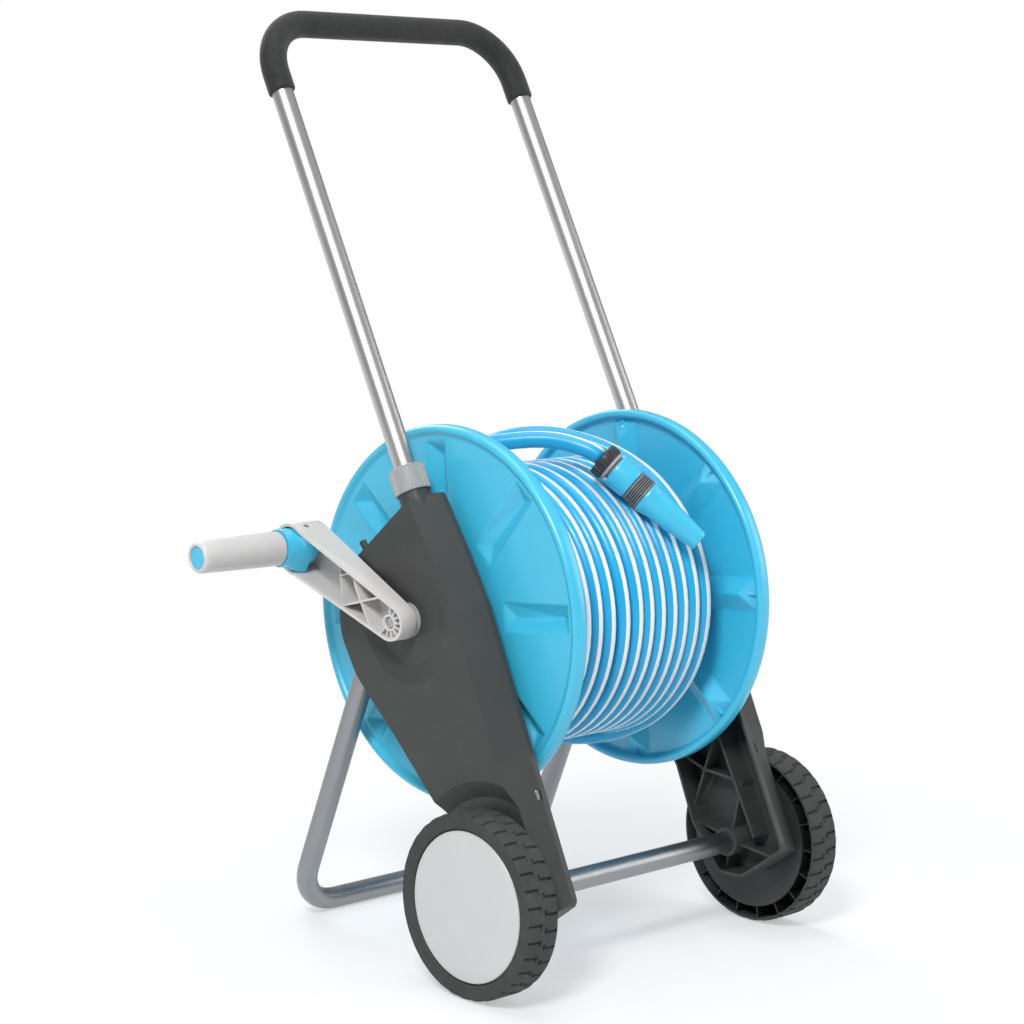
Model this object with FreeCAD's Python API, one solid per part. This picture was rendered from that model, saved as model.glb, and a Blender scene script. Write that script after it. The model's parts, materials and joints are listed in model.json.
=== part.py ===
import FreeCAD, Part
import math
import os

# Garden hose reel cart: two hollow side panels carry a hose drum between them,
# a telescoping handle at the top, a bent tube stand at the back and two wheels.
# Axes: +X along the drum axle away from the crank, -Y towards the wheels, +Z up.
# Millimetres. The floor is z = 0.

os.makedirs("parts", exist_ok=True)
V = FreeCAD.Vector

# ---------------------------------------------------------------- driving sizes
SHIFT_X, SHIFT_Y = 57.25, 29.1       # moves the working frame so the origin is below the middle of the cart
TUBE_R, TUBE_WALL = 11.0, 1.5        # 22 mm frame tube
LEG_X = 166.5                        # handle and stand legs, half spacing

HUB_Y, HUB_Z = -56.5, 344.0          # drum axle
FLANGE_R = 188.0
RIM_IN, RIM_OUT = 122.0, 139.0       # rim bead, distance from the middle plane
WEB_IN, WEB_OUT = 131.0, 134.0       # flange web
DRUM_R, DRUM_WALL = 112.0, 4.0
POCKETS = 8

HOSE_D = 17.0
WIND_R0, WIND_R1 = 112.3, 143.6      # coil of hose, inner and outer radius
WIND_X0, WIND_X1 = -118.0, 94.6

WHEEL_Y, WHEEL_R = -183.0, 90.0
TYRE_X0, TYRE_X1 = 183.5, 220.5
AXLE_R = 5.0

PANEL_IN, PANEL_OUT = 147.0, 186.0   # side panel, open face and outer face
PANEL_WALL = 3.0
PANEL_BEVEL, BEVEL_DEPTH = 13.0, 33.0   # sloping front wall: across, and along X

HANDLE_DIR = V(0, 0.471, 0.882).normalize()
NUT_Y, NUT_Z = -44.0, 466.0          # bottom face of the lock nuts
HANDLE_TOP = 519.7                   # along the handle from that face
HANDLE_END = -50.0
HANDLE_BEND = 59.0
GRIP_R, GRIP_START = 14.0, 438.8
HANDLE_TRAVEL = 235.0

STAND_Y, STAND_Z = 133.1, 11.0
STAND_DIR = V(0, -0.3738, 0.9275).normalize()
STAND_LEG = 397.0
STAND_BEND = 50.0

CRANK_LEN, CRANK_DEG = 144.5, 24.5
ARM_X0, ARM_X1 = -189.0, -227.0
ARM_R0, ARM_R1 = 18.2, 23.5
ARM_FACE0 = -209.5                   # open face of the arm at the axle; it slopes out to ARM_X1 at the grip
PIN_X = -212.0
GRIP_X0, GRIP_X1 = -241.0, -341.0


# ---------------------------------------------------------------- helpers
def cyl(p, d, r, h):
    return Part.makeCylinder(r, h, V(*p), V(*d))


def xcyl(x0, x1, y, z, r):
    return Part.makeCylinder(r, abs(x1 - x0), V(min(x0, x1), y, z), V(1, 0, 0))


def xring(x0, x1, y, z, r0, r1):
    return xcyl(x0, x1, y, z, r1).cut(xcyl(x0 - 1 if x0 < x1 else x0 + 1, x1 + 1 if x0 < x1 else x1 - 1, y, z, r0))


def box(x0, x1, y0, y1, z0, z1):
    return Part.makeBox(abs(x1 - x0), abs(y1 - y0), abs(z1 - z0), V(min(x0, x1), min(y0, y1), min(z0, z1)))


def fuse(shapes):
    s = shapes[0]
    if len(shapes) > 1:
        s = s.multiFuse(shapes[1:])
    return s.removeSplitter()


def mirror(s):
    return s.mirror(V(0, 0, 0), V(1, 0, 0))


def rounded_points(pts, radii):
    """Straight edges and tangent arcs through a closed list of corners."""
    n = len(pts)
    starts, ends, mids = [], [], []
    for i in range(n):
        p, a, b = pts[i], pts[i - 1], pts[(i + 1) % n]
        r = radii[i]
        u = (a - p).normalize()
        w = (b - p).normalize()
        ang = u.getAngle(w)
        if r < 0.01 or abs(math.pi - ang) < 0.01:
            starts.append(p)
            ends.append(p)
            mids.append(None)
            continue
        t = r / math.tan(ang / 2)
        t = min(t, 0.49 * (a - p).Length, 0.49 * (b - p).Length)
        rr = t * math.tan(ang / 2)
        bis = (u + w).normalize()
        c = p + bis * (rr / math.sin(ang / 2))
        starts.append(p + u * t)
        ends.append(p + w * t)
        mids.append(c - bis * rr)
    edges = []
    for i in range(n):
        if mids[i] is not None:
            edges.append(Part.Arc(starts[i], mids[i], ends[i]).toShape())
        j = (i + 1) % n
        if (ends[i] - starts[j]).Length > 1e-4:
            edges.append(Part.LineSegment(ends[i], starts[j]).toShape())
    return Part.Wire(edges)


def inset(pts, d):
    """Moves the edges of a closed (y, z) outline inwards by d (outline runs anticlockwise)."""
    n = len(pts)
    out = []
    for i in range(n):
        p, a, b = pts[i], pts[i - 1], pts[(i + 1) % n]
        e1 = (p[0] - a[0], p[1] - a[1])
        e2 = (b[0] - p[0], b[1] - p[1])
        l1, l2 = math.hypot(*e1), math.hypot(*e2)
        n1 = (-e1[1] / l1, e1[0] / l1)
        n2 = (-e2[1] / l2, e2[0] / l2)
        k = 1 + n1[0] * n2[0] + n1[1] * n2[1]
        out.append((p[0] + d * (n1[0] + n2[0]) / k, p[1] + d * (n1[1] + n2[1]) / k))
    return out


def open_path(points, radii):
    """Straight runs joined by tangent arcs through an open list of points."""
    edges = []
    last = points[0]
    for i in range(1, len(points) - 1):
        p, a, b = points[i], points[i - 1], points[i + 1]
        u = (a - p).normalize()
        w = (b - p).normalize()
        ang = u.getAngle(w)
        r = radii[i - 1]
        t = r / math.tan(ang / 2)
        bis = (u + w).normalize()
        c = p + bis * (r / math.sin(ang / 2))
        s, m, e = p + u * t, c - bis * r, p + w * t
        edges.append(Part.LineSegment(last, s).toShape())
        edges.append(Part.Arc(s, m, e).toShape())
        last = e
    edges.append(Part.LineSegment(last, points[-1]).toShape())
    return Part.Wire(edges)


def tube_along(path, start, direction, r):
    ring = Part.Wire(Part.makeCircle(r, start, direction))
    return path.makePipeShell([ring], True, False)


def solid_from_faces(tris):
    faces = [Part.Face(Part.makePolygon([*t, t[0]])) for t in tris]
    s = Part.Solid(Part.Shell(faces))
    if s.Volume < 0:
        s.reverse()
    return s


def out(name, shape):
    s = shape.copy()
    s.translate(V(SHIFT_X, SHIFT_Y, 0))
    if not s.isValid():
        print("INVALID", name)
    if s.Volume <= 0:
        print("VOLUME", name, s.Volume)
    s.exportStep("parts/%s.step" % name)
    b = s.BoundBox
    print("%-20s solids %d vol %9.0f  x %7.1f %7.1f  y %7.1f %7.1f  z %7.1f %7.1f" % (
        name, len(s.Solids), s.Volume, b.XMin, b.XMax, b.YMin, b.YMax, b.ZMin, b.ZMax))
    return s


def on_handle(side, s):
    return V(side * LEG_X, NUT_Y, NUT_Z) + HANDLE_DIR * s


def on_stand(side, s):
    return V(side * LEG_X, STAND_Y, STAND_Z) + STAND_DIR * s


# ---------------------------------------------------------------- side panels (built at +X)
# Outline of the open rim in (y, z), anticlockwise seen from +X.
OUTLINE = [
    ((-66, 470), 4), ((-103, 417), 0), ((-134, 368), 0), ((-262, 97), 9), ((-234, 76), 8), ((-207, 57), 14), ((-176, 56), 14),
    ((-137, 101), 20), ((-111, 161), 22), ((-44, 224), 120), ((17, 277), 60), ((42, 316), 50), ((45, 352), 26), ((20, 396), 24),
]
o_pts = [p for p, r in OUTLINE]
o_rad = [r for p, r in OUTLINE]
i_pts = inset(o_pts, PANEL_WALL)
i_rad = [max(0.0, r - PANEL_WALL) if k not in (8, 9) else r + (PANEL_WALL if k == 8 else -PANEL_WALL) for k, r in enumerate(o_rad)]


def prism(pts, radii, x0, x1):
    w = rounded_points([V(x0, p[0], p[1]) for p in pts], radii)
    return Part.Face(w).extrude(V(x1 - x0, 0, 0))


def bevel_front(solid, pts, size, x_out, depth):
    """Sloping wall along the front edges of an outline: size across, depth along X."""
    for i in (0, 1, 2):
        a, b = pts[i], pts[i + 1]
        d = V(0, b[0] - a[0], b[1] - a[1])
        length = d.Length
        d.normalize()
        n = V(0, -d.z, d.y)              # inward normal of an anticlockwise outline
        s = V(x_out, a[0], a[1]) - d * 60
        k = size / depth
        tri = [s + n * size, s + V(30, 0, 0) + n * (size + 30 * k), s + V(30, 0, 0) - n * 20, s - V(depth + 20 / k, 0, 0) - n * 20]
        wedge = Part.Face(Part.makePolygon([*tri, tri[0]])).extrude(d * (length + 120))
        solid = solid.cut(wedge)
    return solid


outer = bevel_front(prism(o_pts, o_rad, PANEL_IN, PANEL_OUT), o_pts, PANEL_BEVEL, PANEL_OUT, BEVEL_DEPTH)
void = bevel_front(prism(i_pts, i_rad, PANEL_IN - 1, PANEL_OUT - PANEL_WALL), i_pts, PANEL_BEVEL - 0.95, PANEL_OUT - PANEL_WALL, BEVEL_DEPTH - 2.85)

# wheel arch: the outer face steps in behind the wheel over a sloping band
arch_out = Part.makeCone(99, 115, 9.0, V(177.0, WHEEL_Y, WHEEL_R), V(1, 0, 0)).fuse(xcyl(186, 200, WHEEL_Y, WHEEL_R, 115))
arch_in = Part.makeCone(102, 118, 9.0, V(174.0, WHEEL_Y, WHEEL_R), V(1, 0, 0)).fuse(xcyl(183, 200, WHEEL_Y, WHEEL_R, 118))
outer = outer.cut(arch_out)
void = void.cut(arch_in)

# shallow round dish around the axle
dish_r, dish_floor, dish_depth = 63.0, 44.0, 4.0
outer = outer.cut(Part.makeCone(dish_floor, dish_r + 4.0, dish_depth * (dish_r + 4.0 - dish_floor) / (dish_r - dish_floor), V(PANEL_OUT - dish_depth, HUB_Y, HUB_Z), V(1, 0, 0)))
void = void.cut(xcyl(176.5, 190, HUB_Y, HUB_Z, 66))

shell = outer.cut(void)

# ribs and bosses inside
adds = []
adds.append(cyl(on_handle(1, -45), HANDLE_DIR, 16.0, 63.0))                                   # handle collar
rib_dir = V(0, -HANDLE_DIR.z, HANDLE_DIR.y)                                                   # towards the front wall


def bar(y0, z0, y1, z1, t, x0, x1):
    d = V(0, y1 - y0, z1 - z0)
    n = V(0, -d.z, d.y).normalize() * (t / 2)
    a, b = V(x0, y0, z0), V(x0, y1, z1)
    q = [a + n, b + n, b - n, a - n]
    return Part.Face(Part.makePolygon([*q, q[0]])).extrude(V(x1 - x0, 0, 0))


h0 = on_handle(1, -2) - rib_dir * 16.5
h1 = on_handle(1, -404) - rib_dir * 16.5
rib_parts = [bar(h0.y, h0.z, h1.y, h1.z, 3.0, 150, 186)]                                      # back wall of the handle channel
hexes = [
    (-144, 159, -196, 155), (-144, 159, -127, 104), (-127, 104, -176, 94), (-196, 155, -184, 96), (-144, 159, -163, 214),
    (-144, 159, -104, 172), (-183, 90, -240, 84), (-183, 90, -176, 50), (-163, 214, -75, 200), (-104, 330, -30, 250), (-80, 330, -5, 415),
]
rib_parts += [bar(a, b, c, d, 3.0, 156, 186) for a, b, c, d in hexes]
rib_parts.append(xcyl(150, 186, HUB_Y, HUB_Z, 26.0))                                          # axle boss
rib_parts.append(xcyl(148, 186, WHEEL_Y, WHEEL_R, 15.0))                                      # wheel axle boss
s0 = on_stand(1, 300)
rib_parts.append(cyl(s0, STAND_DIR, 14.2, 100.0))                                             # stand socket
s1 = on_stand(1, 400)
rib_parts.append(bar(s0.y, s0.z, s1.y, s1.z, 8.0, 168, 186))
ribs = fuse(rib_parts).common(outer)
collar = adds[0]
collar_web = bar(on_handle(1, -45).y, on_handle(1, -45).z, on_handle(1, -3).y, on_handle(1, -3).z, 34.0, 166, 186).common(outer)
panel = fuse([shell, ribs, collar, collar_web])

# openings cut through the finished shell
hub_hole = xcyl(140, 200, HUB_Y, HUB_Z, 17.1)
panel = panel.cut(hub_hole)
panel = panel.cut(xcyl(140, 160, WHEEL_Y, WHEEL_R, TUBE_R + 0.1))
panel = panel.cut(xcyl(150, 200, WHEEL_Y, WHEEL_R, AXLE_R + 0.3))
panel = panel.cut(cyl(on_handle(1, -60), HANDLE_DIR, 14.1, 90.0))                              # collet bore
panel = panel.cut(cyl(on_handle(1, -300), HANDLE_DIR, 14.1, 260.0))                            # handle clearance
panel = panel.cut(cyl(on_stand(1, 225), STAND_DIR, TUBE_R + 0.1, STAND_LEG - 225))             # stand leg socket
slot_c = V(PANEL_IN + 10, -219.5, 187.0)
panel = panel.cut(Part.makeBox(5, 30, 9, V(PANEL_IN + 6, -235, 190)))                          # small slot through the front wall
screw_s = 345.0
sc = on_stand(1, screw_s)
panel = panel.cut(xcyl(146, 171, sc.y, sc.z, 2.6))
panel_right = panel
panel_left = mirror(panel)
out("side_panel_right", panel_right)
out("side_panel_left", panel_left)

# small peg on the back edge of the left panel
peg_n = V(0, 0.652, 0.758)
peg_p = V(-175, 13.9, 401.2)
peg = cyl(peg_p + peg_n * 0.2, peg_n, 3.6, 13.0)
peg = peg.fuse(cyl(peg_p + peg_n * 0.2, peg_n, 5.0, 3.0)).removeSplitter()
out("accessory_peg", peg)

# ---------------------------------------------------------------- collets and lock nuts
for side, tag in ((-1, "left"), (1, "right")):
    c = cyl(on_handle(side, -45), HANDLE_DIR, 14.0, 65.0).cut(cyl(on_handle(side, -46), HANDLE_DIR, TUBE_R + 0.3, 70.0))
    for k in range(3):
        ang = math.radians(60 * k + 10)
        e1 = V(1, 0, 0)
        e2 = HANDLE_DIR.cross(e1)
        d = e1 * math.cos(ang) + e2 * math.sin(ang)
        n = HANDLE_DIR.cross(d)
        p0 = on_handle(side, 2) - d * 20 - n * 0.6
        q = [p0, p0 + d * 40, p0 + d * 40 + n * 1.2, p0 + n * 1.2]
        c = c.cut(Part.Face(Part.makePolygon([*q, q[0]])).extrude(HANDLE_DIR * 30))
    out("collet_" + tag, c)
    nut = cyl(on_handle(side, 0), HANDLE_DIR, 18.6, 27.0)
    nut = nut.makeChamfer(1.2, [e for e in nut.Edges if e.Curve.TypeId == "Part::GeomCircle"])
    nut = nut.cut(cyl(on_handle(side, -1), HANDLE_DIR, 16.2, 23.0)).cut(cyl(on_handle(side, 0), HANDLE_DIR, 11.6, 40.0))
    cuts = []
    for k in range(30):
        ang = 2 * math.pi * k / 30
        d = V(1, 0, 0) * math.cos(ang) + HANDLE_DIR.cross(V(1, 0, 0)) * math.sin(ang)
        cuts.append(cyl(on_handle(side, 2) + d * 19.0, HANDLE_DIR, 1.0, 23.0))
    nut = nut.cut(Part.makeCompound(cuts))
    out("lock_nut_" + tag, nut)

# ---------------------------------------------------------------- handle
top_l, top_r = on_handle(-1, HANDLE_TOP), on_handle(1, HANDLE_TOP)
path = open_path([on_handle(-1, HANDLE_END), top_l, top_r, on_handle(1, HANDLE_END)], [HANDLE_BEND, HANDLE_BEND])
ht = tube_along(path, on_handle(-1, HANDLE_END), HANDLE_DIR, TUBE_R).cut(tube_along(path, on_handle(-1, HANDLE_END), HANDLE_DIR, TUBE_R - TUBE_WALL))
out("handle_tube", ht)
gpath = open_path([on_handle(-1, GRIP_START), top_l, top_r, on_handle(1, GRIP_START)], [HANDLE_BEND, HANDLE_BEND])
hg = tube_along(gpath, on_handle(-1, GRIP_START), HANDLE_DIR, GRIP_R).cut(tube_along(gpath, on_handle(-1, GRIP_START), HANDLE_DIR, TUBE_R + 0.05))
out("handle_grip", hg)
plugs = []
for side in (-1, 1):
    plugs.append(cyl(on_handle(side, HANDLE_END - 3), HANDLE_DIR, 13.2, 3.0).fuse(
        cyl(on_handle(side, HANDLE_END - 3), HANDLE_DIR, TUBE_R - TUBE_WALL - 0.1, 18.0)).removeSplitter())
out("handle_end_plugs", Part.makeCompound(plugs))

# ---------------------------------------------------------------- stand
sp = [on_stand(-1, STAND_LEG - 3), on_stand(-1, 0), on_stand(1, 0), on_stand(1, STAND_LEG - 3)]
path = open_path(sp, [STAND_BEND, STAND_BEND])
st = tube_along(path, sp[0], STAND_DIR, TUBE_R).cut(tube_along(path, sp[0], STAND_DIR, TUBE_R - TUBE_WALL))
for side in (-1, 1):
    st = st.cut(xcyl(side * 146, side * 182, sc.y, sc.z, 2.4))
out("stand_tube", st)
screws = []
for side in (-1, 1):
    screws.append(xcyl(side * 149.0, side * 151.6, sc.y, sc.z, 4.5).fuse(xcyl(side * 151.6, side * 171, sc.y, sc.z, 2.3)).removeSplitter())
out("stand_screws", Part.makeCompound(screws))

# ---------------------------------------------------------------- wheel axle
at = xring(-159.5, 159.5, WHEEL_Y, WHEEL_R, TUBE_R - TUBE_WALL, TUBE_R)
out("axle_tube", at)
out("axle_rod", xcyl(-216.5, 216.5, WHEEL_Y, WHEEL_R, AXLE_R))
caps = []
for side in (-1, 1):
    caps.append(xcyl(side * 214.3, side * 216.0, WHEEL_Y, WHEEL_R, 9.0).cut(xcyl(side * 210, side * 230, WHEEL_Y, WHEEL_R, AXLE_R)))
out("axle_push_nuts", Part.makeCompound(caps))

# ---------------------------------------------------------------- wheels
w = [xring(178.2, 214.0, WHEEL_Y, WHEEL_R, AXLE_R + 0.08, 10.0), xring(183.5, 186.3, WHEEL_Y, WHEEL_R, 9.0, 74.0),
     xring(183.5, 217.0, WHEEL_Y, WHEEL_R, 71.0, 74.0), xring(211.2, 214.0, WHEEL_Y, WHEEL_R, 9.0, 72.0)]
for k in range(18):
    a = 360.0 / 18 * k
    f = Part.makeBox(30.0, 13.5, 1.6, V(185.0, WHEEL_Y + 72.6, WHEEL_R - 0.8))
    f.rotate(V(0, WHEEL_Y, WHEEL_R), V(1, 0, 0), a)
    w.append(f)
core = fuse(w)
tyre = fuse([xring(TYRE_X0, TYRE_X1, WHEEL_Y, WHEEL_R, 86.2, WHEEL_R), xring(217.2, TYRE_X1, WHEEL_Y, WHEEL_R, 74.2, 88.0)])
cap = fuse([xcyl(217.2, 220.2, WHEEL_Y, WHEEL_R, 73.8), xring(214.1, 217.4, WHEEL_Y, WHEEL_R, 68.2, 70.6)])
for tag, f in (("right", lambda s: s), ("left", mirror)):
    out("wheel_core_" + tag, f(core))
    out("tyre_" + tag, f(tyre))
    out("hub_cap_" + tag, f(cap))

# ---------------------------------------------------------------- drum
prof = [(20, WEB_IN), (178, WEB_IN), (178, RIM_IN + 3), (181, RIM_IN), (185, RIM_IN), (FLANGE_R, RIM_IN + 4), (FLANGE_R, RIM_OUT - 5),
        (184, RIM_OUT), (181, RIM_OUT), (174, WEB_OUT), (20, WEB_OUT)]
pv = [V(h, HUB_Y + r, HUB_Z) for r, h in prof]


def pocket(base, ridge, in_r, in_w, out_r, out_w, rr0, rr1):
    """Hip-roof shaped solid pointing towards the middle of the drum, along +Y from the axle."""
    A0, A1 = V(base, in_r, -in_w), V(base, in_r, in_w)
    B0, B1 = V(base, out_r, -out_w), V(base, out_r, out_w)
    C, D = V(ridge, rr0, 0), V(ridge, rr1, 0)
    t = [(A0, B0, B1, A1), (A0, A1, C), (B0, D, B1), (A0, C, D), (A0, D, B0), (A1, D, C), (A1, B1, D)]
    s = solid_from_faces(t)
    s.translate(V(0, HUB_Y, HUB_Z))
    return s


def flange(offset):
    f = Part.Face(Part.makePolygon([*pv, pv[0]])).revolve(V(0, HUB_Y, HUB_Z), V(1, 0, 0), 360)
    bumps, holes = [], []
    for k in range(POCKETS):
        a = offset + 360.0 / POCKETS * k
        b = pocket(WEB_IN + 1, 120.2, 81, 17.5, 176.5, 45, 110, 160)
        h = pocket(WEB_OUT + 0.5, 122.8, 84.5, 14.5, 173, 41, 111.5, 158)
        for s in (b, h):
            s.rotate(V(0, HUB_Y, HUB_Z), V(1, 0, 0), a)
        bumps.append(b)
        holes.append(h)
        bumps.append(Part.makeBox(7.0, 22, 1.6, V(125.0, HUB_Y + 158, HUB_Z - 0.8)).rotated(V(0, HUB_Y, HUB_Z), V(1, 0, 0), a))
    f = f.multiFuse(bumps)
    f = f.cut(Part.makeCompound(holes))
    parts = [f, xring(115.0, WEB_IN + 1, HUB_Y, HUB_Z, 66.0, 72.0), xcyl(115.0, 141.0, HUB_Y, HUB_Z, 24.0)]
    for k in range(4):
        a = math.radians(45 + 90 * k)
        parts.append(xcyl(115.0, WEB_OUT, HUB_Y + 50 * math.cos(a), HUB_Z + 50 * math.sin(a), 6.0))
    f = fuse(parts)
    for k in range(4):
        a = math.radians(45 + 90 * k)
        f = f.cut(xcyl(100, 150, HUB_Y + 50 * math.cos(a), HUB_Z + 50 * math.sin(a), 2.6))
    return f


fr = flange(40.0).cut(xcyl(100, 150, HUB_Y, HUB_Z, 14.1))
# the mirrored flange keeps its angles about the axle
fl = mirror(flange(38.8))
fl = fl.cut(box(-150, -100, HUB_Y - 9.2, HUB_Y + 9.2, HUB_Z - 9.2, HUB_Z + 9.2))
out("reel_flange_right", fr)
out("reel_flange_left", fl)

drum = fuse([xring(-119.5, 119.5, HUB_Y, HUB_Z, DRUM_R - DRUM_WALL, DRUM_R),
             xring(-115, -112, HUB_Y, HUB_Z, 15.0, DRUM_R - 1), xring(112, 115, HUB_Y, HUB_Z, 15.0, DRUM_R - 1)])
screw_list = []
for side in (-1, 1):
    for k in range(4):
        a = math.radians(45 + 90 * k)
        y, z = HUB_Y + 50 * math.cos(a), HUB_Z + 50 * math.sin(a)
        drum = drum.fuse(xcyl(side * 95, side * 112.5, y, z, 5.5))
        drum = drum.cut(xcyl(side * 98, side * 118, y, z, 2.0))
        screw_list.append(xcyl(side * 134.0, side * 136.6, y, z, 4.2).fuse(xcyl(side * 98.5, side * 134.0, y, z, 1.95)).removeSplitter())
OUTLET_X = 104.0
drum = drum.cut(cyl((OUTLET_X - 14, HUB_Y, HUB_Z + 90), (0, 0, 1), 10.0, 40)).removeSplitter()
out("reel_drum", drum)
out("reel_screws", Part.makeCompound(screw_list))

# water shaft: turns with the drum in the right bush and feeds the hose
ws = fuse([xcyl(60, 189.0, HUB_Y, HUB_Z, 13.95), cyl((OUTLET_X - 14, HUB_Y, HUB_Z), (0, 0, 1), 7.5, 111.0)])
ws = ws.cut(xcyl(66, 200, HUB_Y, HUB_Z, 10.1)).cut(cyl((OUTLET_X - 14, HUB_Y, HUB_Z), (0, 0, 1), 5.0, 120.0))
out("water_shaft", ws)

# hub bushes, fixed in the panels
for side, tag in ((-1, "left"), (1, "right")):
    b = xring(side * 145.5, side * 184.5, HUB_Y, HUB_Z, 14.03, 17.0)
    b = b.fuse(xring(side * 143.0, side * 145.6, HUB_Y, HUB_Z, 14.03, 21.0)).fuse(xring(side * 145.5, side * 149.8, HUB_Y, HUB_Z, 16.5, 21.0)).removeSplitter()
    out("hub_bush_" + tag, b)

# ---------------------------------------------------------------- water inlet at the right
elbow = fuse([xcyl(150, 190.2, HUB_Y, HUB_Z, 10.0), xcyl(190.0, 193.0, HUB_Y, HUB_Z, 17.0), xcyl(192.5, 211, HUB_Y, HUB_Z, 12.5),
              Part.makeSphere(12.5, V(211, HUB_Y, HUB_Z)), cyl((211, HUB_Y, HUB_Z), (0, 0, -1), 12.0, 30.0),
              cyl((211, HUB_Y, HUB_Z - 27), (0, 0, -1), 15.5, 4.0), cyl((211, HUB_Y, HUB_Z - 31), (0, 0, -1), 13.2, 16.0)])
elbow = elbow.cut(xcyl(149, 211, HUB_Y, HUB_Z, 6.5)).cut(cyl((211, HUB_Y, HUB_Z), (0, 0, -1), 6.5, 60.0)).cut(Part.makeSphere(6.5, V(211, HUB_Y, HUB_Z)))
for x in (158.0, 168.0):
    elbow = elbow.cut(xring(x, x + 3.0, HUB_Y, HUB_Z, 8.2, 11.0))
out("inlet_elbow", elbow)
out("inlet_seals", Part.makeCompound([Part.makeTorus(9.1, 0.85, V(x + 1.5, HUB_Y, HUB_Z), V(1, 0, 0)) for x in (158.0, 168.0)]))
ret = fuse([xring(186.0, 193.5, HUB_Y, HUB_Z, 17.5, 25.0), xring(193.3, 196.3, HUB_Y, HUB_Z, 12.9, 25.0)])
for k in range(3):
    a = math.radians(90 + 120 * k)
    ret = ret.cut(xcyl(180, 200, HUB_Y + 21.3 * math.cos(a), HUB_Z + 21.3 * math.sin(a), 1.6))
out("inlet_retainer", ret)

# ---------------------------------------------------------------- crank
ca = V(0, math.cos(math.radians(CRANK_DEG)), math.sin(math.radians(CRANK_DEG)))    # along the arm
cn = V(0, -ca.z, ca.y)                                                            # across the arm
hub = V(0, HUB_Y, HUB_Z)


def arm_prism(r0, r1, x0, x1, l1=CRANK_LEN):
    """Outline of two circles and their outer tangents, extruded along X."""
    s = (r1 - r0) / l1
    c = math.sqrt(1 - s * s)
    p = []
    for sg in (1, -1):
        n = cn * (sg * c) - ca * s
        p.append((hub + n * r0, hub + ca * l1 + n * r1))
    q = [p[0][0], p[0][1], p[1][1], p[1][0]]
    q = [V(x0, k.y, k.z) for k in q]
    e = hub + ca * l1
    body = Part.Face(Part.makePolygon([*q, q[0]])).extrude(V(x1 - x0, 0, 0))
    return fuse([body, xcyl(x0, x1, HUB_Y, HUB_Z, r0), xcyl(x0, x1, e.y, e.z, r1)])


FOLD_TILT = 13.0
arm = arm_prism(ARM_R0, ARM_R1, ARM_X0, ARM_X1)
arm = arm.cut(arm_prism(ARM_R0 - 2.8, ARM_R1 - 2.8, ARM_X0 - 3.0, ARM_X1 - 1))


def arm_pt(l, t, x):
    return V(x, 0, 0) + hub + ca * l + cn * t


def arm_rib(l0, t0, l1, t1, th=1.8):
    a, b = arm_pt(l0, t0, ARM_X0), arm_pt(l1, t1, ARM_X0)
    d = (b - a).normalize()
    n = V(1, 0, 0).cross(d) * (th / 2)
    q = [a + n, b + n, b - n, a - n]
    return Part.Face(Part.makePolygon([*q, q[0]])).extrude(V(ARM_X1 - ARM_X0, 0, 0))


ribs = [arm_rib(18, -19, 62, 19), arm_rib(18, 19, 62, -19), arm_rib(62, -20, 96, 21), arm_rib(62, 20, 84, 2), xcyl(ARM_X0, ARM_X1, HUB_Y, HUB_Z, 8.0)]
for k in range(9):
    a = math.radians(70 + 27.5 * k)
    ribs.append(arm_rib(7 * math.cos(a), 7 * math.sin(a), 19 * math.cos(a), 19 * math.sin(a), 1.4))
ribs = fuse(ribs).common(arm_prism(ARM_R0 - 1, ARM_R1 - 1, ARM_X0 - 1, ARM_X1))
# the ribs stop below the folded handle: a sloping plane rising towards the hub
t = math.tan(math.radians(FOLD_TILT))
x_at = lambda l: PIN_X - t * (CRANK_LEN - l) + 17.6 / math.cos(math.radians(FOLD_TILT))
q = [arm_pt(-40, 0, x_at(-40)), arm_pt(CRANK_LEN + 40, 0, x_at(CRANK_LEN + 40)), arm_pt(CRANK_LEN + 40, 0, -260), arm_pt(-40, 0, -260)]
above = Part.Face(Part.makePolygon([*q, q[0]])).extrude(cn * 60).translated(cn * -30)
ribs = ribs.cut(above)
face_at = lambda l: ARM_FACE0 + (ARM_X1 - ARM_FACE0) * l / (CRANK_LEN - 10)
q = [arm_pt(-40, 0, face_at(-40)), arm_pt(CRANK_LEN + 40, 0, face_at(CRANK_LEN + 40)), arm_pt(CRANK_LEN + 40, 0, -270), arm_pt(-40, 0, -270)]
off_face = Part.Face(Part.makePolygon([*q, q[0]])).extrude(cn * 80).translated(cn * -40)
q = [arm_pt(-40, 0, face_at(-40) + 1.2), arm_pt(CRANK_LEN + 40, 0, face_at(CRANK_LEN + 40) + 1.2), arm_pt(CRANK_LEN + 40, 0, -270), arm_pt(-40, 0, -270)]
ribs = ribs.cut(Part.Face(Part.makePolygon([*q, q[0]])).extrude(cn * 80).translated(cn * -40))
arm = arm.cut(off_face)
e = hub + ca * CRANK_LEN
ribs = ribs.cut(xcyl(ARM_X0 - 3.0, ARM_X1 - 1, e.y, e.z, 27.5))
arm = fuse([arm, ribs, xcyl(-141.3, ARM_X0 - 0.1, HUB_Y, HUB_Z, 13.95), box(-141.4, -117.5, HUB_Y - 9.0, HUB_Y + 9.0, HUB_Z - 9.0, HUB_Z + 9.0)])
pin_c = arm_pt(CRANK_LEN, 0, PIN_X)
arm = arm.cut(Part.makeCylinder(3.0, 60, pin_c - cn * 30, cn))
arm = arm.cut(xcyl(-230, -110, HUB_Y, HUB_Z, 3.1)).cut(xcyl(-240, -202.0, HUB_Y, HUB_Z, 6.2))
out("crank_arm", arm)
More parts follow.
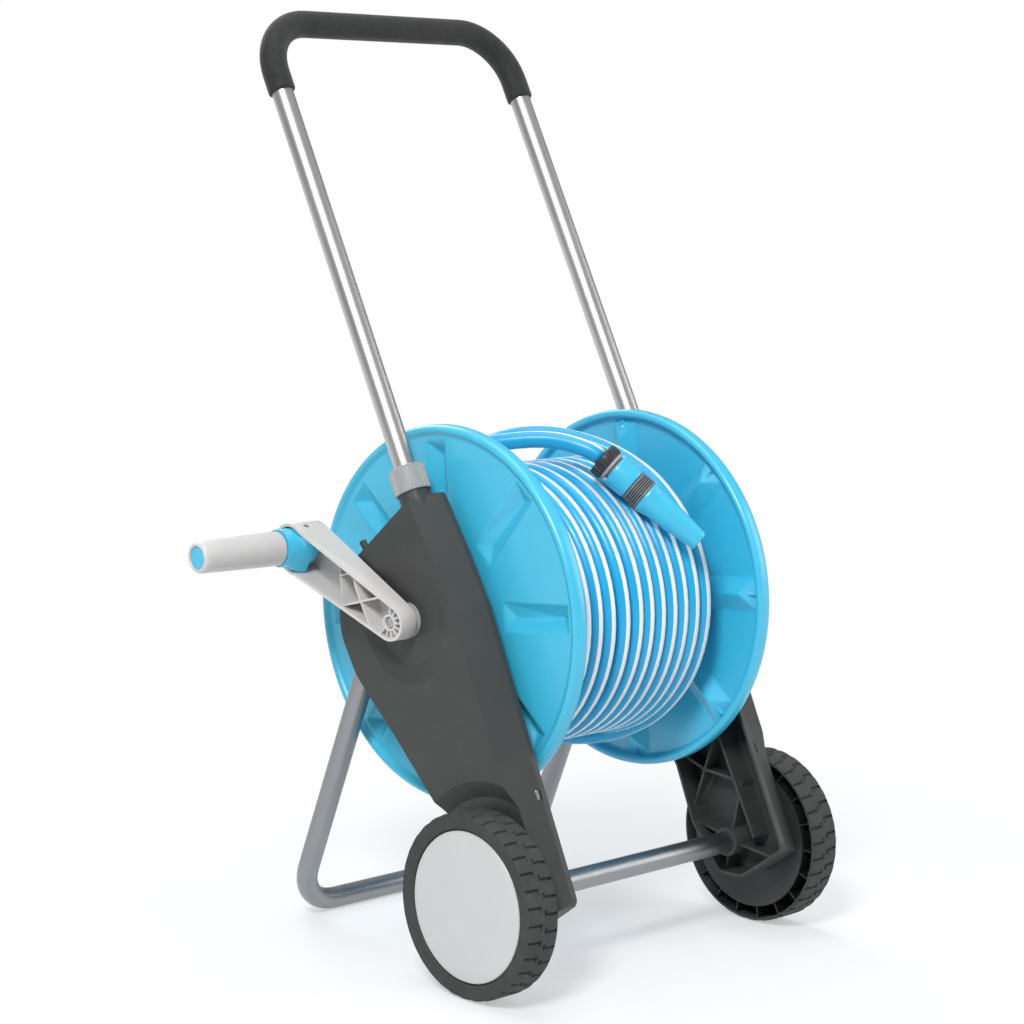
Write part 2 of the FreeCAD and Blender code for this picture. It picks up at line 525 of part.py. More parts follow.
out("crank_screw", fuse([xcyl(-206.5, -202.0, HUB_Y, HUB_Z, 5.0), xcyl(-202.0, -106.0, HUB_Y, HUB_Z, 3.0)]))
# flanged hexagon nut that draws the arm against the drum from inside
hexa = [V(-113.0, HUB_Y + 6.35 * math.cos(math.radians(60 * k)), HUB_Z + 6.35 * math.sin(math.radians(60 * k))) for k in range(6)]
nut = Part.Face(Part.makePolygon([*hexa, hexa[0]])).extrude(V(5.5, 0, 0))
nut = fuse([nut, xcyl(-114.9, -112.9, HUB_Y, HUB_Z, 13.0)]).cut(xcyl(-116, -106, HUB_Y, HUB_Z, 3.02))
out("crank_nut", nut)
out("crank_pin", Part.makeCylinder(2.95, 46.0, pin_c - cn * 23.0, cn))

# folding knuckle with the fixed post that the grip turns on
kr, kh = 20.2, 15.0        # rounding radius and half height of the knuckle's barrel
pts = [(-kh, 0.0), (-kh, math.sqrt(kr ** 2 - kh ** 2))] + [(h, math.sqrt(kr ** 2 - h ** 2)) for h in (-12.5, -10.0, -7.8)]
pts = pts + [(h, r) for h, r in [(-5.6, 19.4), (5.6, 19.4)]] + [(-h, r) for h, r in reversed(pts)]
q = [pin_c + cn * h + ca * r for h, r in pts]
kn = Part.Face(Part.makePolygon([*q, q[0]])).revolve(pin_c, cn, 360)
full = Part.makeCylinder(19.4, 38.0, pin_c - cn * 19.0, cn)
q = [pin_c, pin_c + V(-30, 0, 0), pin_c + V(-30, 0, 0) - ca * 30, pin_c - ca * 30]
quarter = Part.Face(Part.makePolygon([*q, q[0]])).extrude(cn * 60).translated(cn * -30)
kn = fuse([kn, full.common(quarter), xcyl(PIN_X, GRIP_X0 + 0.6, e.y, e.z, 19.0), xcyl(PIN_X, GRIP_X1 + 2.0, e.y, e.z, 11.3)])
kn = kn.cut(Part.makeCylinder(3.0 + 0.03, 60, pin_c - cn * 30, cn))
out("crank_knuckle", kn)
gr = Part.makeCone(17.0, 15.6, GRIP_X0 - GRIP_X1, V(GRIP_X0, e.y, e.z), V(-1, 0, 0))
gr = gr.makeFillet(1.5, [ed for ed in gr.Edges if ed.Curve.TypeId == "Part::GeomCircle"])
gr = gr.cut(xcyl(GRIP_X0 + 1, GRIP_X1 - 1, e.y, e.z, 11.37))
out("crank_grip", gr)

# ---------------------------------------------------------------- hose
wind = xring(WIND_X0, WIND_X1, HUB_Y, HUB_Z, WIND_R0, WIND_R1)
out("hose_winding", wind)


def pol(x, r, deg):
    a = math.radians(deg)
    return V(x, HUB_Y + r * math.cos(a), HUB_Z + r * math.sin(a))


NOZ_A = V(4.7, -130.7, 497.5)
NOZ_B = V(63.6, -213.0, 417.0)
nd = (NOZ_B - NOZ_A).normalize()
HOSE_ROUTE = [pol(-96, 139, 2), pol(-96, 149, 25), pol(-91, 160, 46), pol(-78, 168.5, 66), pol(-53, 172.5, 86), pol(-25, 172, 103.5), NOZ_A]
radii = []
for i in range(1, len(HOSE_ROUTE) - 1):
    a, p, b = HOSE_ROUTE[i - 1], HOSE_ROUTE[i], HOSE_ROUTE[i + 1]
    turn = (p - a).getAngle(b - p)
    radii.append(0.45 * min((p - a).Length, (b - p).Length) / math.tan(turn / 2))
    print("hose point %d run %.0f turn %.0f deg radius %.0f mm" % (i, (b - p).Length, math.degrees(turn), radii[-1]))
hp = open_path(HOSE_ROUTE, radii)
hose = tube_along(hp, HOSE_ROUTE[0], (HOSE_ROUTE[1] - HOSE_ROUTE[0]), HOSE_D / 2)
area = math.pi * (HOSE_D / 2) ** 2
print("free hose length %.0f  volume %.0f  section x length %.0f" % (hp.Length, hose.Volume, area * hp.Length))
out("hose_free_end", hose)


def nz(t0, t1, r0, r1=None):
    p = NOZ_A + nd * t0
    if r1 is None:
        return Part.makeCylinder(r0, t1 - t0, p, nd)
    return Part.makeCone(r0, r1, t1 - t0, p, nd)


L = (NOZ_B - NOZ_A).Length
nutf = nz(0.3, 12.0, 17.6)
nutf = nutf.makeChamfer(1.0, [ed for ed in nutf.Edges if ed.Curve.TypeId == "Part::GeomCircle"])
out("hose_nut", nutf.cut(nz(4.0, 13, 12.2)).cut(nz(-1, 13, 8.7)))
body = fuse([nz(4.4, 12.2, 12.0), nz(12.0, 15.4, 16.3), nz(14.0, 40.0, 12.3)])
body = body.cut(nz(3, 16, 5.5)).cut(nz(15, 41, 8.6))
out("hose_connector", body)
sleeve = nz(18.2, 41.6, 16.9)
out("coupling_collar", sleeve.makeChamfer(0.8, [ed for ed in sleeve.Edges if ed.Curve.TypeId == "Part::GeomCircle"]).cut(nz(17, 42, 12.65)))
stem = fuse([nz(18.0, 44.0, 8.4), nz(42.0, 57.8, 16.8), nz(57.0, 74.0, 7.6)])
stem = stem.cut(nz(10, 80, 4.5))
for t0 in (45.0, 47.4, 49.8, 52.2, 54.6):
    stem = stem.cut(nz(t0, t0 + 1.1, 20.0).cut(nz(t0 - 1, t0 + 3, 16.0)))
out("nozzle_stem", stem)
cone = fuse([nz(58.2, 63.0, 17.4), nz(63.0, 84.0, 17.4, 14.4), nz(84.0, L, 14.4, 10.6)])
cone = cone.cut(nz(58, 76.0, 7.9)).cut(nz(70, L + 1, 4.2)).cut(nz(L - 6, L + 0.1, 4.2, 6.8))
out("nozzle_cone", cone)
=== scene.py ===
import json
import math

import bpy
import numpy as np
from mathutils import Matrix, Vector


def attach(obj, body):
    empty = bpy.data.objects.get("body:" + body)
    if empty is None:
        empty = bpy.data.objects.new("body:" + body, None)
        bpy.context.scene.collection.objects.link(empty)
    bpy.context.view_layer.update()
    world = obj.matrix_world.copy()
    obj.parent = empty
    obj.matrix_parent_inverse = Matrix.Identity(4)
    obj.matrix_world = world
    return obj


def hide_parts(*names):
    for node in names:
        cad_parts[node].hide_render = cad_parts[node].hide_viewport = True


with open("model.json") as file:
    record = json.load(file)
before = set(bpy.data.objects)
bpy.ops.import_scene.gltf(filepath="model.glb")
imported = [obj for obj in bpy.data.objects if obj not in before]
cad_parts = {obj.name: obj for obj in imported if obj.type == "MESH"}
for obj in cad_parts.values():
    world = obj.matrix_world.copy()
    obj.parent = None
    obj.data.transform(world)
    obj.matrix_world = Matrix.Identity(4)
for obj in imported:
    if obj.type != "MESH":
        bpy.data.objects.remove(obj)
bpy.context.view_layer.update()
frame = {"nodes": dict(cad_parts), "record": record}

NODES = frame["nodes"]

# ------------------------------------------------------------------ the shared frame
SX, SY = 57.25, 29.1                      # working frame to row frame, mm
HUB_Y, HUB_Z = -56.5, 344.0
WHEEL_Y, WHEEL_R = -183.0, 90.0


def P(x, y, z):
    return Vector(((x + SX) / 1000, (y + SY) / 1000, z / 1000))


def pol(x, r, deg):
    a = math.radians(deg)
    return P(x, HUB_Y + r * math.cos(a), HUB_Z + r * math.sin(a))


# ------------------------------------------------------------------ camera
az, el, roll, dist = math.radians(-43.708), math.radians(7.928), math.radians(0.911), 2.7414
back = Vector((math.sin(az) * math.cos(el), -math.cos(az) * math.cos(el), math.sin(el)))
target = P(8.47, -0.06, 427.81)
fwd = -back
right = fwd.cross(Vector((0, 0, 1))).normalized()
up = right.cross(fwd)
r2 = math.cos(roll) * right + math.sin(roll) * up
u2 = -math.sin(roll) * right + math.cos(roll) * up
cam = bpy.data.objects.new("camera", bpy.data.cameras.new("camera"))
bpy.context.scene.collection.objects.link(cam)
cam.matrix_world = Matrix(((r2.x, u2.x, back.x, 0), (r2.y, u2.y, back.y, 0), (r2.z, u2.z, back.z, 0), (0, 0, 0, 1)))
cam.location = target + back * dist
cam.data.sensor_width = 36
cam.data.lens = 36 * 2646.874 / 1024
cam.data.clip_end = 60
bpy.context.scene.camera = cam


# ------------------------------------------------------------------ materials
def srgb(hexa):
    c = [int(hexa[i:i + 2], 16) / 255 for i in (0, 2, 4)]
    return [v / 12.92 if v <= 0.04045 else ((v + 0.055) / 1.055) ** 2.4 for v in c] + [1.0]


class Mat:
    def __init__(self, name):
        self.m = bpy.data.materials.new(name)
        self.m.use_nodes = True
        self.t = self.m.node_tree
        self.b = self.t.nodes["Principled BSDF"]
        self.coord = self.t.nodes.new("ShaderNodeTexCoord")

    def node(self, kind, **props):
        n = self.t.nodes.new(kind)
        for k, v in props.items():
            setattr(n, k, v)
        return n

    def link(self, a, b):
        self.t.links.new(a, b)

    def noise(self, scale, detail=4, rough=0.55, stretch=None):
        n = self.node("ShaderNodeTexNoise")
        n.inputs["Scale"].default_value = scale
        n.inputs["Detail"].default_value = detail
        n.inputs["Roughness"].default_value = rough
        if stretch:
            mp = self.node("ShaderNodeMapping")
            mp.inputs["Scale"].default_value = stretch
            self.link(self.coord.outputs["Object"], mp.inputs["Vector"])
            self.link(mp.outputs["Vector"], n.inputs["Vector"])
        else:
            self.link(self.coord.outputs["Object"], n.inputs["Vector"])
        return n.outputs["Fac"]

    def ramp(self, fac, stops):
        r = self.node("ShaderNodeValToRGB")
        e = r.color_ramp.elements
        e[0].position, e[0].color = stops[0]
        e[1].position, e[1].color = stops[-1]
        for p, c in stops[1:-1]:
            k = e.new(p)
            k.color = c
        self.link(fac, r.inputs["Fac"])
        return r.outputs["Color"]

    def remap(self, fac, lo, hi, a=0.3, b=0.7):
        r = self.node("ShaderNodeMapRange")
        r.inputs["From Min"].default_value = a
        r.inputs["From Max"].default_value = b
        r.inputs["To Min"].default_value = lo
        r.inputs["To Max"].default_value = hi
        self.link(fac, r.inputs["Value"])
        return r.outputs["Result"]

    def bump(self, height, dist, strength=1.0, under=None):
        n = self.node("ShaderNodeBump")
        n.inputs["Strength"].default_value = strength
        n.inputs["Distance"].default_value = dist
        self.link(height, n.inputs["Height"])
        if under is not None:
            self.link(under, n.inputs["Normal"])
        return n.outputs["Normal"]


def plastic(name, colour, rough=0.45, var=0.06, grain=1400, grain_d=0.00006, wave_d=0.0, coat=0.0, spec=0.5, sss=0.0):
    """Moulded plastic: slight pigment clouds, a fine spark-eroded grain, gloss that varies a little."""
    k = Mat(name)
    c = srgb(colour)
    dark = [v * (1 - var) for v in c[:3]] + [1]
    light = [min(1, v * (1 + var)) for v in c[:3]] + [1]
    tone_field = k.noise(22, 5, 0.6)
    k.link(k.ramp(tone_field, [(0.3, dark), (0.7, light)]), k.b.inputs["Base Color"])
    k.link(k.remap(k.noise(60, 6, 0.65), rough - 0.06, rough + 0.07), k.b.inputs["Roughness"])
    fine = k.noise(grain, 3, 0.6)
    nrm = k.bump(fine, grain_d)
    if wave_d:
        nrm = k.bump(k.noise(18, 2, 0.4), wave_d, under=nrm)
    k.link(nrm, k.b.inputs["Normal"])
    k.b.inputs["Coat Weight"].default_value = coat
    k.b.inputs["Coat Roughness"].default_value = 0.25
    k.b.inputs["Specular IOR Level"].default_value = spec
    if sss:
        k.b.inputs["Subsurface Weight"].default_value = sss
        k.b.inputs["Subsurface Radius"].default_value = (0.004, 0.006, 0.008)
        k.b.inputs["Subsurface Scale"].default_value = 0.5
    return k.m


def metal(name, colour, rough, stretch, streak=0.06, metallic=1.0):
    """Drawn and polished tube: fine lines along its length, faint cloudiness in the plating."""
    k = Mat(name)
    c = srgb(colour)
    k.b.inputs["Metallic"].default_value = metallic
    cl = k.noise(12, 4, 0.6)
    k.link(k.ramp(cl, [(0.3, [v * 0.93 for v in c[:3]] + [1]), (0.7, c)]), k.b.inputs["Base Color"])
    lines = k.noise(240, 4, 0.7, stretch)
    k.link(k.remap(lines, rough - streak / 2, rough + streak), k.b.inputs["Roughness"])
    k.link(k.bump(lines, 0.00001, 0.2), k.b.inputs["Normal"])
    return k.m


def foam(name, colour):
    k = Mat(name)
    c = srgb(colour)
    v = k.node("ShaderNodeTexVoronoi")
    v.inputs["Scale"].default_value = 900
    k.link(k.coord.outputs["Object"], v.inputs["Vector"])
    n = k.noise(350, 5, 0.6)
    k.link(k.ramp(n, [(0.3, [x * 0.7 for x in c[:3]] + [1]), (0.72, [x * 1.35 for x in c[:3]] + [1])]), k.b.inputs["Base Color"])
    k.link(k.remap(k.noise(90, 4), 0.62, 0.8), k.b.inputs["Roughness"])
    k.link(k.bump(v.outputs["Distance"], 0.00018, 0.8, k.bump(k.noise(60, 3), 0.0004, 0.6)), k.b.inputs["Normal"])
    k.b.inputs["Sheen Weight"].default_value = 0.15
    k.b.inputs["Sheen Roughness"].default_value = 0.5
    k.b.inputs["Specular IOR Level"].default_value = 0.35
    return k.m


def rubber(name, colour, rough=0.75):
    k = Mat(name)
    c = srgb(colour)
    k.link(k.ramp(k.noise(40, 6, 0.65), [(0.3, [x * 0.82 for x in c[:3]] + [1]), (0.7, [x * 1.15 for x in c[:3]] + [1])]), k.b.inputs["Base Color"])
    k.link(k.remap(k.noise(120, 5), rough - 0.08, rough + 0.1), k.b.inputs["Roughness"])
    k.link(k.bump(k.noise(1100, 4, 0.7), 0.00012, 1.0, k.bump(k.noise(160, 4), 0.00015)), k.b.inputs["Normal"])
    k.b.inputs["Specular IOR Level"].default_value = 0.35
    return k.m


BLUE = "3cbade"
M = {
    "panel_plastic": plastic("panel_plastic", "393b3a", 0.52, 0.07, 1500, 0.00008, 0.0),
    "reel_blue": plastic("reel_blue", BLUE, 0.36, 0.025, 1300, 0.00003, 0.0001, coat=0.4, spec=0.6),
    "handle_metal": metal("handle_metal", "cccbcb", 0.36, (1, 0.02, 0.02)),
    "stand_metal": metal("stand_metal", "9b9da0", 0.36, (0.05, 0.05, 0.05), 0.1),
    "grip_foam": foam("grip_foam", "1f2020"),
    "crank_grey": plastic("crank_grey", "cbc9c7", 0.42, 0.03, 1500, 0.00005, 0.0),
    "tyre_rubber": rubber("tyre_rubber", "3f4140"),
    "cap_grey": plastic("cap_grey", "c6c8c7", 0.4, 0.015, 1600, 0.00003),
    "nut_grey": plastic("nut_grey", "9a9b9c", 0.45, 0.05, 1500, 0.00005),
    "hose_pvc": plastic("hose_pvc", "1ca4d4", 0.34, 0.03, 1200, 0.00004, coat=0.1),
    "fastener_steel": metal("fastener_steel", "b4b6b9", 0.28, (1, 1, 1), 0.12),
    "dark_plastic": plastic("dark_plastic", "333436", 0.42, 0.08, 1400, 0.00006),
    "bush_plastic": plastic("bush_plastic", "a9acae", 0.4, 0.03, 1500, 0.00004),
    "seal_rubber": rubber("seal_rubber", "161616", 0.5),
}
hose_white = plastic("hose_white", "e9ecee", 0.38, 0.015, 1200, 0.00003, coat=0.1)
# painted shade: darkened blue for the inside of the nozzle bore, where shade falls; the cone itself is reel blue
nozzle_bore_shade = plastic("nozzle_bore_shade", "1f4a5a", 0.6, 0.05)
ring_grey = plastic("ring_grey", "77787a", 0.4, 0.05, 1500, 0.00005)
# painted shade: near black for the bottoms of the grooves in the grey nozzle ring
groove_painted_shade = plastic("groove_painted_shade", "232425", 0.6, 0.05)

# wheel body: painted light and shade by facing: nearly black in its recessed ring (painted shade), a little lighter on
# the outer faces of its fins and on the disc (painted light)
k = Mat("wheel_plastic")
geo = k.node("ShaderNodeNewGeometry")
flat = k.node("ShaderNodeSeparateXYZ")
k.link(geo.outputs["Normal"], flat.inputs[0])
# painted light and shade: faces turned along the axle (|normal.x| near 1), such as the fins' outer faces and the disc,
# are painted lighter; other faces, as in the recessed ring, are painted nearly black
painted_facing_light = k.node("ShaderNodeMath", operation="ABSOLUTE")
k.link(flat.outputs["X"], painted_facing_light.inputs[0])
tone_field = k.node("ShaderNodeMath", operation="MULTIPLY")
k.link(painted_facing_light.outputs["Value"], tone_field.inputs[0])
k.link(k.remap(k.noise(24, 5, 0.6), 0.82, 1.0), tone_field.inputs[1])
# the ramp turns this painted facing light, varied a little by noise, into colour: near black for painted shade, dark
# grey for painted light
k.link(k.ramp(tone_field.outputs["Value"], [(0.55, srgb("101111")), (0.92, srgb("2f3031"))]), k.b.inputs["Base Color"])
k.link(k.remap(k.noise(60, 6, 0.65), 0.4, 0.56), k.b.inputs["Roughness"])
k.link(k.bump(k.noise(1400, 3, 0.6), 0.00006), k.b.inputs["Normal"])
M["wheel_plastic"] = k.m

slots = {s["node"]: s["material_slot"] for s in frame["record"]["subparts"]}
for n, o in NODES.items():
    o.data.materials.clear()
    o.data.materials.append(M[slots[n]])


# ------------------------------------------------------------------ mesh helpers
def add_mesh(name, verts, faces, mats, face_mat=None, smooth=True, sharp=None):
    me = bpy.data.meshes.new(name)
    me.from_pydata([tuple(v) for v in verts], [], faces)
    for m in mats:
        me.materials.append(m)
    if face_mat is not None:
        me.polygons.foreach_set("material_index", face_mat)
    if smooth:
        me.polygons.foreach_set("use_smooth", [True] * len(me.polygons))
    me.validate()
    me.update()
    o = bpy.data.objects.new(name, me)
    bpy.context.scene.collection.objects.link(o)
    if sharp is not None:
        me.set_sharp_from_angle(angle=math.radians(sharp))
    return o


def finish_piece(o, body, slot, *nodes):
    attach(o, body)
    if nodes:
        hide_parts(*nodes)
    return o


def lathe(name, profile, origin, axis, mats, ref=None, n=96, offset=None, face_mat=None, sharp=35, closed=True):
    """Turns a list of (t along the axis, radius) in mm round the axis. offset(t, r, angle, i) moves a point outward."""
    axis = Vector(axis).normalized()
    ref = Vector(ref) if ref else (Vector((0, 0, 1)) if abs(axis.z) < 0.9 else Vector((1, 0, 0)))
    e1 = (ref - axis * ref.dot(axis)).normalized()
    e2 = axis.cross(e1)
    verts, faces, fm = [], [], []
    k = len(profile)
    for j in range(n):
        a = 2 * math.pi * j / n
        d = e1 * math.cos(a) + e2 * math.sin(a)
        for i, (t, r) in enumerate(profile):
            rr = r + (offset(t, r, a, i) if offset else 0)
            verts.append(Vector(origin) + axis * (t / 1000) + d * (rr / 1000))
    for j in range(n):
        j2 = (j + 1) % n
        for i in range(k if closed else k - 1):
            i2 = (i + 1) % k
            faces.append((j * k + i, j * k + i2, j2 * k + i2, j2 * k + i))
            if face_mat:
                fm.append(face_mat(i, (i + 0.5), 2 * math.pi * (j + 0.5) / n))
    o = add_mesh(name, verts, faces, mats, fm if face_mat else None, True, sharp)
    fix_normals(o)
    return o


def fix_normals(o):
    import bmesh
    bm = bmesh.new()
    bm.from_mesh(o.data)
    bmesh.ops.remove_doubles(bm, verts=bm.verts, dist=1e-6)
    bmesh.ops.recalc_face_normals(bm, faces=bm.faces)
    bm.to_mesh(o.data)
    bm.free()
    o.data.update()


def arc(cx, cr, rad, a0, a1, n=6):
    """Points of an arc in the (t, r) plane, degrees measured from +t towards +r."""
    return [(cx + rad * math.cos(math.radians(a0 + (a1 - a0) * i / n)), cr + rad * math.sin(math.radians(a0 + (a1 - a0) * i / n))) for i in range(n + 1)]


# ------------------------------------------------------------------ hose: one spline, wound and then free
HOSE_D = 17.0
R_IN, R_OUT = 121.0, 135.2
PTS = 16
SHRINK = 0.98097


def wound_points():
    pts = []
    # inner layer, right to left
    turns_in = [86 - 17.0 * i for i in range(12)]            # x at each passing of the top
    # outer layer, left to right, as uneven as hand winding leaves it
    outer = [-114, -97.5, -81, -64.5, -47, -27, -8, 8.4, 24.8, 41.2, 57.4, 73.2]
    seq = []
    for i, x in enumerate(turns_in):
        seq.append((x, R_IN))
    for x in outer:
        seq.append((x, R_OUT))
    # seq holds (x, r) at phi = 90 + 360 i; the step between turns is spread over the turn
    n = len(seq)
    for i in range(n - 1):
        (x0, q0), (x1, q1) = seq[i], seq[i + 1]
        for k in range(PTS):
            f = k / PTS
            s = f * f * (3 - 2 * f) * 0.5 + f * 0.5
            wob = 0.35 * math.sin(1.7 * i + 2 * math.pi * f * 2)
            pts.append((x0 + (x1 - x0) * s + wob, (q0 + (q1 - q0) * min(1, f * 2)) / SHRINK, 90 + 360 * (i + f)))
    return pts, n - 1


wound, turns = wound_points()
base = 90 + 360 * turns
# the last turns lie loose over the others: (x, r, angle past the top)
loose = [
    (73.4, 136.5, 0), (74.6, 136.5, 22), (75.6, 136.5, 45), (76, 136.5, 68), (76, 136.5, 90), (76, 136.5, 112), (75.5, 136.5, 135), (74, 137.5, 157),
    (68, 139.5, 180), (57, 141.8, 200), (44, 144.5, 213), (18, 150, 231), (-16, 154.5, 250), (-42, 158, 268), (-52, 161, 284), (-48, 165.5, 298), (-34, 171, 312),
    (-15, 175, 325), (13, 175, 337), (40, 168.5, 348.5), (63, 158, 359), (80, 148.5, 369), (89, 141.5, 380), (92, 138, 392), (93.2, 136, 412), (93.6, 135.5, 434), (93.6, 135.5, 456), (93.6, 136, 480),
    (92, 138, 503), (86.5, 142.5, 520), (75, 150, 536), (54, 158, 552), (28, 162, 568), (-6, 163, 584), (-43, 160.5, 600), (-75, 157.5, 616), (-93, 155.5, 632), (-97, 156.5, 650),
    (-95, 158, 668), (-88, 159.5, 686), (-78, 161, 699), (-64, 163, 709), (-48, 165.3, 717.5), (-31, 169.3, 725), (-17, 172.1, 732), (-7, 173.3, 739),
]
NOZ_A = Vector((4.7, -130.7, 497.5))
NOZ_B = Vector((63.6, -213.0, 417.0))
nd = (NOZ_B - NOZ_A).normalized()
free = [(86.5, R_IN + 2, 90)] + [(x, r * SHRINK, d) for x, r, d in wound[1:]] + [(x, r, base + d) for x, r, d in loose]
hose_pts = []
for i, (x, r, d) in enumerate(free):              # control points stand a little outside the curve they draw
    reach = 1.0
    if 0 < i < len(free) - 1:
        reach = 0.75 + 0.25 * math.cos(math.radians((free[i + 1][2] - free[i - 1][2]) / 2))
    hose_pts.append(pol(x, r / reach, d))
hose_pts += [P(*(NOZ_A - nd * 7.5 + Vector((-0.2, 0.2, 0.1)))), P(*NOZ_A)]

crv = bpy.data.curves.new("hose_line", "CURVE")
crv.dimensions = "3D"
sp = crv.splines.new("NURBS")
sp.points.add(len(hose_pts) - 1)
for p, q in zip(sp.points, hose_pts):
    p.co = (*q, 1)
sp.order_u = 3
sp.use_endpoint_u = True
sp.resolution_u = 4
hose_line = bpy.data.objects.new("hose_line", crv)
bpy.context.scene.collection.objects.link(hose_line)
bpy.context.view_layer.update()
line_mesh = bpy.data.meshes.new_from_object(hose_line.evaluated_get(bpy.context.evaluated_depsgraph_get()))
path = [v.co.copy() for v in line_mesh.vertices]
bpy.data.objects.remove(hose_line)

axis_pt = P(0, HUB_Y, HUB_Z)
RING = [-16, -2, 12, 26, 40, 56, 72, 90, 108, 126, 144, 162, 180, 198, 216, 234, 252, 270, 288, 306, 324, 340]
verts, faces, fmat = [], [], []
m = len(RING)
for i, p in enumerate(path):
    t = (path[min(i + 1, len(path) - 1)] - path[max(i - 1, 0)]).normalized()
    rad = Vector((0, p.y - axis_pt.y, p.z - axis_pt.z))
    rad = (rad - t * rad.dot(t)).normalized()
    side = t.cross(rad)
    if side.x < 0:
        side = -side
    for a in RING:
        c, s = math.cos(math.radians(a)), math.sin(math.radians(a))
        verts.append(p + (rad * c + side * s) * (HOSE_D / 2000))
for i in range(len(path) - 1):
    for j in range(m):
        j2 = (j + 1) % m
        faces.append((i * m + j, i * m + j2, (i + 1) * m + j2, (i + 1) * m + j))
        fmat.append(1 if j < 3 else 0)
faces.append(tuple(range(m)))
fmat.append(0)
faces.append(tuple(len(verts) - m + k for k in range(m)))
fmat.append(0)
hose = add_mesh("hose", verts, faces, [M["hose_pvc"], hose_white], fmat)
fix_normals(hose)
finish_piece(hose, "reel", "hose_pvc", "hose_winding", "hose_free_end")


# ------------------------------------------------------------------ hose fittings, turned along nd from NOZ_A
def noz(name, profile, mats, body, slot, node, **kw):
    o = lathe(name, profile, P(*NOZ_A), nd, mats, **kw)
    return finish_piece(o, body, slot, node)


def ribs(count, depth, duty=0.5, t0=-1e9, t1=1e9, rmin=0):
    def f(t, r, a, i):
        if r < rmin or not t0 <= t <= t1:
            return 0
        c = math.cos(a * count)
        return -depth * max(0.0, min(1.0, (c - (2 * duty - 1)) * 3))
    return f


hose_nut = noz("hose_nut_ring", [(0.3, 8.7), (0.3, 15.4), (0.6, 16.4), (1.4, 17.3), (2.2, 17.6), (10.2, 17.6), (11.2, 17.2), (11.9, 16.5), (12.0, 15.8), (12.0, 12.3), (4.2, 12.3), (4.2, 8.7)],
               [M["dark_plastic"]], "reel", "dark_plastic", "hose_nut", n=200, offset=ribs(22, 1.1, 0.42, 1.3, 11.3, 16.8))
connector = noz("hose_connector_body", [(4.5, 5.5), (4.5, 11.9), (12.1, 11.9), (12.1, 15.8), (12.5, 16.3), (14.9, 16.3), (15.3, 15.8), (15.4, 12.3), (39.9, 12.3), (39.9, 8.7), (16, 8.7), (15, 5.5)],
                [M["nut_grey"]], "reel", "nut_grey", "hose_connector", n=96)
collar = noz("coupling_sleeve", [(18.2, 12.7), (18.2, 15.6), (18.5, 16.3), (19.2, 16.8), (21, 16.9), (34, 16.9), (39.4, 16.7), (40.7, 16.4), (41.4, 15.8), (41.6, 15.0), (41.6, 12.7)],
             [M["reel_blue"]], "coupling_collar", "reel_blue", "coupling_collar", n=140)
gp = [(18.2, 4.5), (18.2, 8.3), (42.1, 8.3), (42.1, 15.9), (42.5, 16.6), (43.1, 16.8)]
for g in range(5):
    t = 44.7 + 2.4 * g
    gp += [(t, 16.8), (t + 0.2, 15.7), (t + 1.2, 15.7), (t + 1.4, 16.8)]
gp += [(57.1, 16.8), (57.6, 16.4), (57.8, 15.6), (57.8, 7.5), (73.9, 7.5), (73.9, 4.5)]
# the groove bottoms take the painted groove shade
stem = noz("nozzle_ring", gp, [ring_grey, groove_painted_shade], "reel", "nut_grey", "nozzle_stem", n=140, offset=ribs(6, 0.7, 0.1, 43, 57.5, 15.5),
           face_mat=lambda i, c, a: 1 if 6 <= i < 26 and (i - 6) % 4 == 1 else 0)
L = (NOZ_B - NOZ_A).length
cone_prof = [(58.3, 7.9), (58.3, 16.2), (58.6, 16.9), (59.3, 17.35), (62.0, 17.4), (63.4, 17.1), (67, 16.3), (72, 15.4), (78, 14.8), (84, 14.4), (95, 13.6), (110, 12.2), (L - 5, 10.75), (L - 2.4, 10.45), (L - 1.0, 9.8), (L - 0.25, 8.8),
             (L - 0.05, 7.9), (L - 0.15, 7.2), (L - 1.0, 6.6), (L - 6.2, 4.3), (76, 4.2), (76, 7.9)]
# the bore faces past the tip lip (profile index 18 on) take the painted bore shade
cone = noz("nozzle_cone_shell", cone_prof, [M["reel_blue"], nozzle_bore_shade], "nozzle_cone", "reel_blue", "nozzle_cone", n=140, face_mat=lambda i, c, a: 1 if i >= 18 else 0)


# ------------------------------------------------------------------ drum flanges: embossed discs
def smin(a, b, k):
    h = np.clip(0.5 + 0.5 * (b - a) / k, 0, 1)
    return b * (1 - h) + a * h - k * h * (1 - h)


def hip(X, Y, in_r, in_w, out_r, out_w, rr0, rr1, depth, k):
    """Depth of a hip-roof pocket at local (X along the radius, Y across)."""
    Y = np.abs(Y)

    def plane(p, q, s):
        p, q, s = map(np.array, (p, q, s))
        nrm = np.cross(q - p, s - p)
        return p[2] - ((X - p[0]) * nrm[0] + (Y - p[1]) * nrm[1]) / nrm[2]
    a1, b1 = (in_r, in_w, 0.0), (out_r, out_w, 0.0)
    a0, b0 = (in_r, -in_w, 0.0), (out_r, -out_w, 0.0)
    c, d = (rr0, 0.0, depth), (rr1, 0.0, depth)
    f = [plane(a0, a1, c), plane(b0, b1, d), plane(a1, c, d), plane(a1, d, b1)]
    v = f[0]
    for g in f[1:]:
        v = smin(v, g, k)
    return -smin(-v, np.zeros_like(v), k * 0.8)


